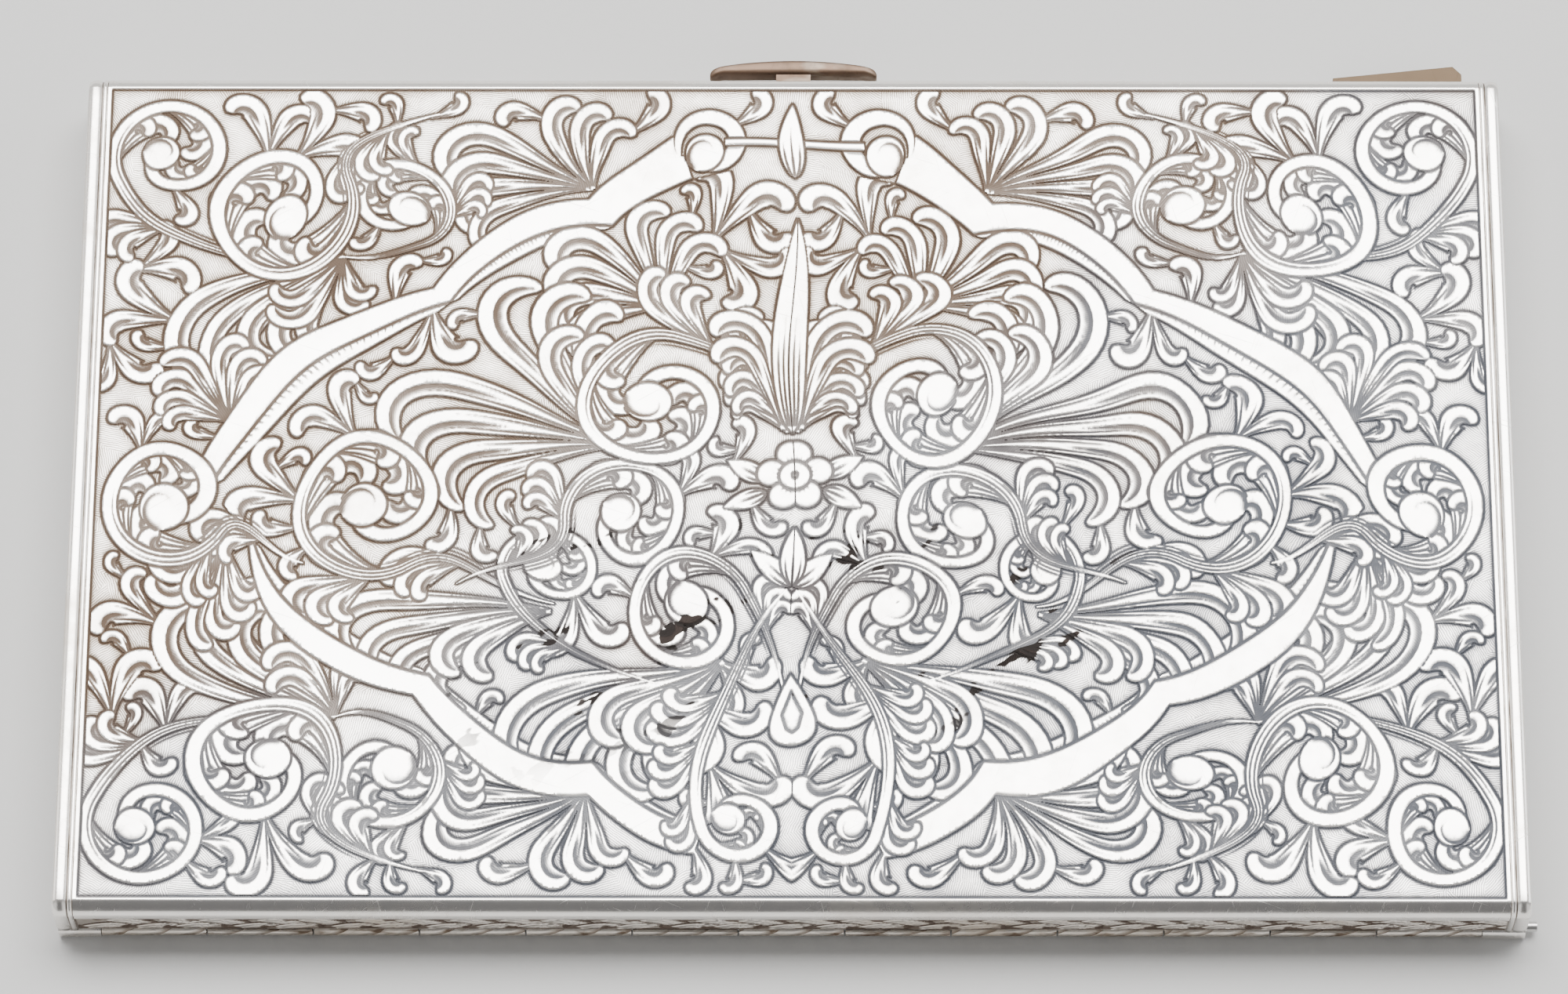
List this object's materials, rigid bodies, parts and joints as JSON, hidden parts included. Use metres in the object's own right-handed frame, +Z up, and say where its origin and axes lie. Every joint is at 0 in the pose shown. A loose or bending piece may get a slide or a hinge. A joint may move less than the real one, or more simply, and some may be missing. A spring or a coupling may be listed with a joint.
{
  "type": "business card case",
  "caption": "Flat hinged metal case for business cards, with engraved scroll ornament, a push-bar clasp and a sprung gilt inner leaf that holds the cards.",
  "frame": {"origin": "middle of the underside of the base, on the surface the closed case rests on", "axes": "+X along the hinge to the right, +Y from the hinge to the clasp, +Z up out of the engraved lid"},
  "size_m": [0.0988, 0.0634, 0.0058],
  "materials": {
    "silver": "engraved silver, soft polish with patina in the cuts",
    "gilt": "gilt over silver, satin",
    "steel": "drawn wire",
    "spring_metal": "hardened spring strip"
  },
  "bodies": {
    "base": {"base_tray": "silver", "base_end_band_left": "silver", "base_end_band_right": "silver", "base_bezel": "gilt", "base_knuckle_1": "silver", "base_knuckle_2": "silver", "base_knuckle_3": "silver", "base_knuckle_4": "silver", "base_knuckle_5": "silver", "base_knuckle_6": "silver", "base_knuckle_7": "silver", "hinge_pin": "steel", "latch_spring": "spring_metal", "latch_rivets": "gilt", "leaf_spring": "spring_metal", "spring_clips": "gilt"},
    "lid": {"lid_cover": "silver", "lid_front_strip": "silver", "lid_rear_strip": "silver", "lid_end_band_left": "silver", "lid_end_band_right": "silver", "lid_knuckle_1": "silver", "lid_knuckle_2": "silver", "lid_knuckle_3": "silver", "lid_knuckle_4": "silver"},
    "leaf": {"card_leaf": "gilt", "leaf_tab": "gilt", "leaf_knuckle_1": "silver", "leaf_knuckle_2": "silver"},
    "push_bar": {"push_bar": "gilt", "push_stem": "gilt", "latch_blade": "spring_metal"}
  },
  "joints": [
    {"name": "lid_hinge", "type": "hinge", "parent": "base", "child": "lid", "pos_m": [0, -0.0298, 0.0008], "axis": [1, 0, 0], "range_deg": [0, 90]},
    {"name": "leaf_hinge", "type": "hinge", "parent": "base", "child": "leaf", "pos_m": [0, -0.0298, 0.0008], "axis": [1, 0, 0], "range_deg": [0, 45]},
    {"name": "push_slide", "type": "slide", "parent": "base", "child": "push_bar", "axis": [0, -1, 0], "range_m": [0, 0.0008], "stiffness_N_per_m": 400, "springref_m": -0.0005, "deforming": ["latch_spring"]}
  ],
  "couplings": [
    {"joint": "leaf_hinge", "follows": "lid_hinge", "ratio": 0.5}
  ]
}
